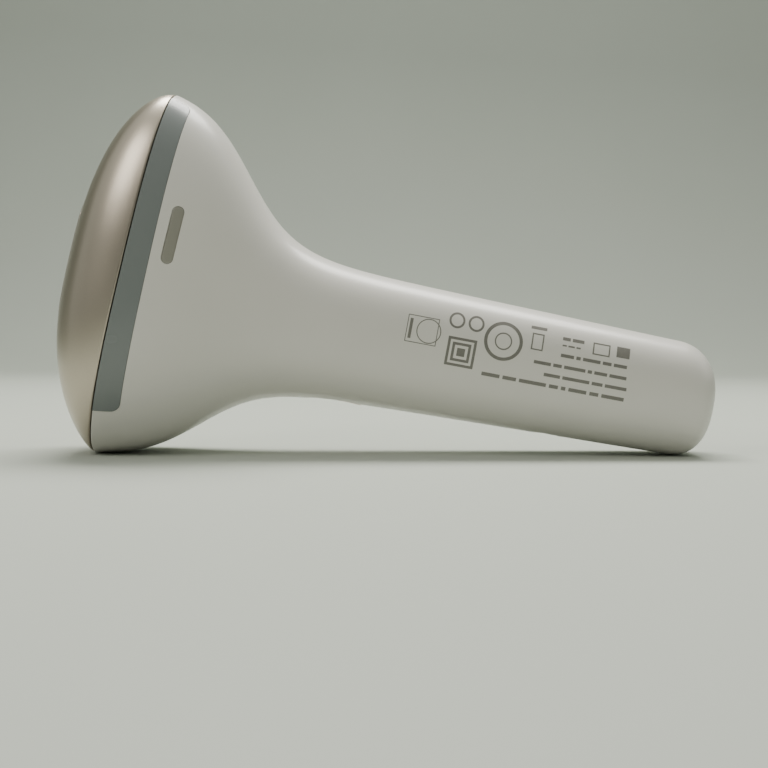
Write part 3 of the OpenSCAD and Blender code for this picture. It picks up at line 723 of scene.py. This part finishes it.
def safety_ring():
    """The sprung ring, crowned along the head, with soft edges and a flange behind."""
    rows = []
    wide = RING_WALL
    profile = [(0, 0.8), (0, 0.5), (0.06, 0.28), (0.2, 0.1), (0.42, 0.0), (wide - 0.42, 0.0),
               (wide - 0.2, 0.1), (wide - 0.06, 0.28), (wide, 0.5), (wide, 0.8)]
    rows.append(at_head(window_grow(0), -14.0))
    for off, drop in profile:
        outline = window_grow(off)
        rows.append(at_head(outline, crown(outline) + drop))
    rows.append(at_head(window_grow(wide), -15.2))
    flange = head_oblong(wide + 3, wide + 1.5, WINDOW[2] + wide)
    rows.append(at_head(flange, -15.2))
    rows.append(at_head(flange, -14.0))
    points, faces = ring_rows(rows)
    piece("safety_ring_soft", points, faces, "safety_ring", "black_plastic", ["safety_ring"], 40)


# ---- Springs and leads
def swept(route, r, sides=12):
    """A round tube along a route of points, with closed ends."""
    route = np.asarray(route, float)
    ahead = np.gradient(route, axis=0)
    ahead /= np.linalg.norm(ahead, axis=1)[:, None]
    u = np.cross(ahead[0], [0.3, 1, 0.2])
    rows = []
    for p, d in zip(route, ahead):
        u = u - d * np.dot(u, d)
        u /= np.linalg.norm(u)
        v = np.cross(d, u)
        turn = np.radians(np.arange(sides) * 360 / sides)[:, None]
        rows.append(p + r * (np.cos(turn) * u + np.sin(turn) * v))
    return tube_rows(rows)


def springs():
    parts = []
    for sy in (-1, 1):
        for sz in (-1, 1):
            turns, length = 6.5, 8.9
            t = np.linspace(0, 1, 170)
            lift = -12.75 + length * (t * 0.86 + 0.07 + 0.035 * np.sin(2 * math.pi * (t - 0.5)))
            angle = 2 * math.pi * (turns * t)
            coil = np.stack([lift, sy * 6 + 1.48 * np.cos(angle), sz * 20.3 + 1.48 * np.sin(angle)], -1)
            parts.append(swept(from_head(coil), 0.2, 8))
    points, faces = joined(parts)
    piece("ring_springs_coils", points, faces, "attachment", "steel", ["ring_springs"], 60)


def smooth_route(points, per=8):
    """A soft curve through the points."""
    p = np.asarray(points, float)
    p = np.concatenate([[2 * p[0] - p[1]], p, [2 * p[-1] - p[-2]]])
    out = []
    for i in range(1, len(p) - 2):
        for t in np.linspace(0, 1, per, endpoint=False):
            a, b, c, d = p[i - 1:i + 3]
            out.append(0.5 * (2 * b + (c - a) * t + (2 * a - 5 * b + 4 * c - d) * t ** 2
                              + (3 * b - a - 3 * c + d) * t ** 3))
    return np.array(out + [p[-2]])


def leads():
    inlet = [swept(smooth_route([[164.8, 2 * s, -3], [161, 2.5 * s, -3.5],
                                 [156, 4 * s, -5], [152, 6 * s, -6.5],
                                 [147, 7 * s, -7.2], [143, 7.6 * s, -7.4]]), 0.68) for s in (-1, 1)]
    points, faces = joined(inlet)
    piece("inlet_lead_pair", points, faces, "handpiece", "lead_red", ["inlet_leads"], 60)
    upper = [[11, 0, 35.2], [13, 3, 36.8], [18, 9, 37], [24, 13.4, 32], [30, 14.5, 24], [36, 14.6, 14],
             [42, 14.6, 5], [46, 14.2, 0], [49.5, 12.4, -4], [53, 9.6, -6.6], [56, 8, -7.4]]
    lower = [[9, 0, -23.4], [11, -3, -24.6], [18, -9, -25.2], [25, -13.2, -22.5], [31, -14.5, -17],
             [37, -14.6, -12.3], [43, -14.2, -9.2], [47, -12.4, -7.6], [51, -9.6, -7.3], [56, -8, -7.4]]
    points, faces = joined([swept(smooth_route(upper), 0.68), swept(smooth_route(lower), 0.68)])
    piece("lamp_lead_pair", points, faces, "handpiece", "lead_red", ["lamp_leads"], 60)


# ---- Controls and handle end
def flash_button():
    """Oblong button following the round of the handle, with a shallow dish for the finger."""
    round_r, flange_low = 19.0, -16.6
    centre_z = float(low_z(np.array(66.0))) + round_r + 0.15

    def at(outline, lift):
        z = centre_z - np.sqrt(round_r ** 2 - outline[:, 1] ** 2) + lift
        return np.stack([66 + outline[:, 0], outline[:, 1], z], -1)

    def level(outline, z):
        return np.stack([66 + outline[:, 0], outline[:, 1], np.full(len(outline), z)], -1)

    rows = [level(pill(20.8, 12.8, 24), flange_low + 0.7), level(pill(20.8, 12.8, 24), flange_low),
            level(pill(18, 10, 24), flange_low)]
    rows += [at(pill(18 - 2 * i, 10 - 2 * i, 24), d) for i, d in round_over(0.5, 6)]
    for i in np.linspace(0.9, 4.9, 14):
        dish = 0.28 * (1 - ((4.9 - i) / 4.0) ** 2) ** 2
        rows.append(at(pill(18 - 2 * i, 10 - 2 * i, 24), dish))
    points, faces = tube_rows(rows)
    piece("flash_button_cap", points, faces, "flash_button", "button_metallic", ["flash_button"], 40)


def power_button():
    """Round button with a fine ring groove."""
    centre_z = float(low_z(np.array(132.0))) + 19.15

    def at(r, lift):
        outline = circle(r, 64)
        z = centre_z - np.sqrt(19.0 ** 2 - outline[:, 1] ** 2) + lift
        return np.stack([132 + outline[:, 0], outline[:, 1], z], -1)

    def level(r, z):
        outline = circle(r, 64)
        return np.stack([132 + outline[:, 0], outline[:, 1], np.full(64, z)], -1)

    rows = [level(5.7, -14.1), level(5.7, -14.8), level(4.5, -14.8)]
    rows += [at(4.5 - i, d) for i, d in round_over(0.4, 5)]
    rows += [at(r, d) for r, d in [(3.2, 0), (3.1, 0.02), (3.02, 0.12), (2.78, 0.12),
                                  (2.7, 0.02), (2.6, 0), (1.4, 0.02), (0.3, 0.03)]]
    points, faces = tube_rows(rows)
    piece("power_button_cap", points, faces, "power_button", "button_grey", ["power_button"], 40)


def turned(profile, n=96):
    """A ring turned round the inlet's axis, from a closed profile of (x, r) pairs."""
    turn = np.radians(np.arange(n) * 360 / n)
    rows = [np.stack([np.full(n, x), r * np.cos(turn), CAP_Z + r * np.sin(turn)], -1) for x, r in profile]
    return ring_rows(rows)


def end_cap():
    profile = [(177.25, 3.5), (178.6, 3.5), (178.85, 3.58), (178.97, 3.8),
               (178.97, 6.05), (178.9, 6.25), (178.7, 6.36), (177.25, 6.36)]
    points, faces = turned(profile)
    piece("end_cap_disc", points, faces, "handpiece", "inner_white", ["end_cap"], 40)


# ---- Printed marks: plain bars and shapes, with no lettering
def patch(outline_rows):
    """A thin sheet of ink on the near skin, from rows of (x, z) places."""
    rows = np.asarray(outline_rows, float)
    flat = near_skin(rows[..., 0], rows[..., 1])
    flat[..., 1] -= 0.02
    m, n = rows.shape[:2]
    return flat.reshape(-1, 3), grid(m, n)


def bar(x, z, wide, high):
    u = np.linspace(-wide / 2, wide / 2, max(3, int(wide * 2)))
    v = np.linspace(-high / 2, high / 2, max(4, int(high * 3)))
    return patch([[(x + a, z + b) for a in u] for b in v])


def bars(x, z, total, high, lengths, gap):
    """A row of bars of the given relative lengths, like a line of greeked print."""
    scale = (total - gap * (len(lengths) - 1)) / sum(lengths)
    out, at = [], x - total / 2
    for share in lengths:
        wide = share * scale
        out.append(bar(at + wide / 2, z, wide, high))
        at += wide + gap
    return out


def hoop(x, z, outer, inner):
    turn = np.radians(np.linspace(0, 360, 65))
    return patch([[(x + r * math.cos(t), z + r * math.sin(t)) for t in turn]
                  for r in (inner, (inner + outer) / 2, outer)])


def hollow_box(x, z, wide, high, line):
    return [bar(x, z + (high - line) / 2, wide, line), bar(x, z - (high - line) / 2, wide, line),
            bar(x + (wide - line) / 2, z, line, high - 2 * line),
            bar(x - (wide - line) / 2, z, line, high - 2 * line)]


def printed_marks():
    parts = bars(140.2, 6.3, 20, 1.0, [3, 1, 4, 2, 3], 0.7)
    parts += bars(136.6, 3.0, 28, 1.0, [4, 2, 5, 1, 3, 4], 0.7)
    parts += bars(138.7, -0.2, 25, 1.0, [3, 5, 2, 4], 0.7)
    parts += bars(129.5, -3.3, 43, 1.1, [4, 3, 6, 2, 1, 4, 2, 5], 0.9)
    parts += bars(133.4, 11.3, 6.5, 1.0, [2, 3], 0.6) + bars(133.0, 9.3, 5.5, 0.5, [2, 3, 2], 0.5)
    parts += hollow_box(142.0, 10.1, 5.2, 3.6, 0.4) + [bar(148.6, 10.4, 4.0, 3.2)]
    parts += [hoop(112.7, 7.2, 5.8, 4.8), hoop(112.7, 7.2, 2.6, 2.2)]
    parts += hollow_box(122.8, 8.9, 3.6, 5.0, 0.4) + [bar(122.8, 13.0, 4.8, 0.9)]
    parts += hollow_box(100.8, 1.6, 8.6, 8.6, 0.8) + hollow_box(100.8, 1.6, 5.6, 5.6, 0.8)
    parts += [bar(100.8, 1.6, 2.4, 2.4)]
    parts += [hoop(98.2, 10.8, 2.4, 1.75), hoop(104.0, 10.8, 2.4, 1.75)]
    parts += [hoop(90.4, 6.0, 3.7, 3.4)] + hollow_box(88.4, 6.0, 9.4, 8.2, 0.25) + [bar(84.9, 6.0, 0.9, 6.0)]
    points, faces = joined(parts)
    mesh = bpy.data.meshes.new("printed_marks")
    mesh.from_pydata([tuple(p) for p in world(points)], [], faces)
    obj = bpy.data.objects.new("printed_marks", mesh)
    bpy.context.scene.collection.objects.link(obj)
    mesh.shade_smooth()
    mesh.materials.append(ink())
    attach(obj, "handpiece")


def ink():
    """Warm grey pad print, slightly uneven."""
    mat = bpy.data.materials.new("look_ink")
    mat.use_nodes = True
    tree = mat.node_tree
    shader = tree.nodes["Principled BSDF"]
    shader.inputs["Roughness"].default_value = 0.45
    noise = tree.nodes.new("ShaderNodeTexNoise")
    noise.inputs["Scale"].default_value = 900
    tree.links.new(tree.nodes.new("ShaderNodeTexCoord").outputs["Object"], noise.inputs["Vector"])
    mix = tree.nodes.new("ShaderNodeMix")
    mix.data_type = "RGBA"
    mix.inputs["A"].default_value = (0.17, 0.165, 0.145, 1)
    mix.inputs["B"].default_value = (0.23, 0.22, 0.195, 1)
    tree.links.new(noise.outputs["Fac"], mix.inputs["Factor"])
    tree.links.new(mix.outputs["Result"], shader.inputs["Base Color"])
    return mat


# ---- Camera, floor and light
def camera():
    distance, rise, focal = 0.38, math.radians(2.2), 57.6
    target = Vector((-0.0010, 0, 0.0213))
    data = bpy.data.cameras.new("camera")
    data.lens = focal
    data.sensor_width = 36
    data.clip_start = 0.01
    obj = bpy.data.objects.new("camera", data)
    obj.location = target + distance * Vector((0, -math.cos(rise), math.sin(rise)))
    look = (target - obj.location).to_track_quat("-Z", "Y").to_matrix().to_4x4()
    obj.matrix_world = Matrix.Translation(obj.location) @ look @ Matrix.Rotation(math.radians(0.3), 4, "Z")
    bpy.context.scene.collection.objects.link(obj)
    bpy.context.scene.camera = obj


def backdrop_material():
    mat = bpy.data.materials.new("look_backdrop")
    mat.use_nodes = True
    tree = mat.node_tree
    shader = tree.nodes["Principled BSDF"]
    shader.inputs["Roughness"].default_value = 0.62
    noise = tree.nodes.new("ShaderNodeTexNoise")
    noise.inputs["Scale"].default_value = 6
    noise.inputs["Detail"].default_value = 4
    tree.links.new(tree.nodes.new("ShaderNodeTexCoord").outputs["Object"], noise.inputs["Vector"])
    mix = tree.nodes.new("ShaderNodeMix")
    mix.data_type = "RGBA"
    mix.inputs["A"].default_value = (0.47, 0.50, 0.445, 1)
    mix.inputs["B"].default_value = (0.50, 0.53, 0.475, 1)
    tree.links.new(noise.outputs["Fac"], mix.inputs["Factor"])
    tree.links.new(mix.outputs["Result"], shader.inputs["Base Color"])
    return mat


def floor():
    """A pale floor that sweeps up far behind the part."""
    reach, start, radius, wall_top = 40.0, 0.8, 0.5, 2.4
    turn = np.radians(np.linspace(-90, 0, 20))
    profile = [(-reach, 0.0), (start, 0.0)]
    profile += [(start + radius * math.cos(t), radius + radius * math.sin(t)) for t in turn]
    profile += [(start + radius, wall_top)]
    across = np.linspace(-reach, reach, 17)
    points = [(x, y, z) for y, z in profile for x in across]
    mesh = bpy.data.meshes.new("floor")
    mesh.from_pydata(points, [], grid(len(profile), len(across)))
    mesh.shade_smooth()
    mesh.materials.append(backdrop_material())
    obj = bpy.data.objects.new("floor", mesh)
    bpy.context.scene.collection.objects.link(obj)


def lamp(name, spot, aim, size, power, colour):
    data = bpy.data.lights.new(name, "AREA")
    data.shape = "RECTANGLE"
    data.size, data.size_y = size
    data.energy = power
    data.color = colour
    obj = bpy.data.objects.new(name, data)
    obj.location = spot
    obj.rotation_euler = (Vector(aim) - Vector(spot)).to_track_quat("-Z", "Y").to_euler()
    bpy.context.scene.collection.objects.link(obj)


def facing(tree, at, way, start, stop, low, high):
    """A level that goes smoothly from low to high as the direction turns towards way."""
    dot = tree.nodes.new("ShaderNodeVectorMath")
    dot.operation = "DOT_PRODUCT"
    dot.inputs[1].default_value = way
    tree.links.new(at, dot.inputs[0])
    level = tree.nodes.new("ShaderNodeMapRange")
    level.interpolation_type = "SMOOTHSTEP"
    level.inputs["From Min"].default_value = start
    level.inputs["From Max"].default_value = stop
    level.inputs["To Min"].default_value = low
    level.inputs["To Max"].default_value = high
    tree.links.new(dot.outputs["Value"], level.inputs["Value"])
    return level.outputs["Result"]


def sky():
    """A pale room, darker on the camera's side, with a dim patch low on the left."""
    world_data = bpy.data.worlds.new("sky")
    world_data.use_nodes = True
    tree = world_data.node_tree
    at = tree.nodes.new("ShaderNodeTexCoord").outputs["Generated"]
    room = facing(tree, at, (-0.1, 0.75, 0.65), -1.0, 0.8, 0.035, 0.60)
    dim = facing(tree, at, (-0.86, -0.49, 0.12), 0.80, 0.98, 1.0, 0.75)
    both = tree.nodes.new("ShaderNodeMath")
    both.operation = "MULTIPLY"
    tree.links.new(room, both.inputs[0])
    tree.links.new(dim, both.inputs[1])
    back = tree.nodes["Background"]
    back.inputs["Color"].default_value = (0.93, 0.97, 0.90, 1)
    tree.links.new(both.outputs["Value"], back.inputs["Strength"])
    bpy.context.scene.world = world_data


def lights():
    sky()
    lamp("window_light", (0.05, 0.30, 0.80), (0, 0, 0.02), (0.7, 0.35), 12.5, (1.0, 0.985, 0.93))
    lamp("front_fill", (-0.34, -0.30, 0.42), (-0.05, 0, 0.03), (0.25, 0.25), 0.9, (1.0, 0.97, 0.90))
    lamp("backdrop_light", (0, 0.3, 0.9), (0, 1.3, 0.55), (1.6, 0.4), 5.0, (0.97, 1.0, 0.94))


# ---- Build
camera()
floor()
lights()
paint_cad_nodes()
casing_half("near_casing_cover", -1)
casing_half("far_casing_cover", 1)
side_band("near_side_band", -1)
side_band("far_side_band", 1)
ready_lens("near_ready_lens", -1)
ready_lens("far_ready_lens", 1)
attachment_cover()
bezel()
safety_ring()
springs()
leads()
flash_button()
power_button()
end_cap()
printed_marks()
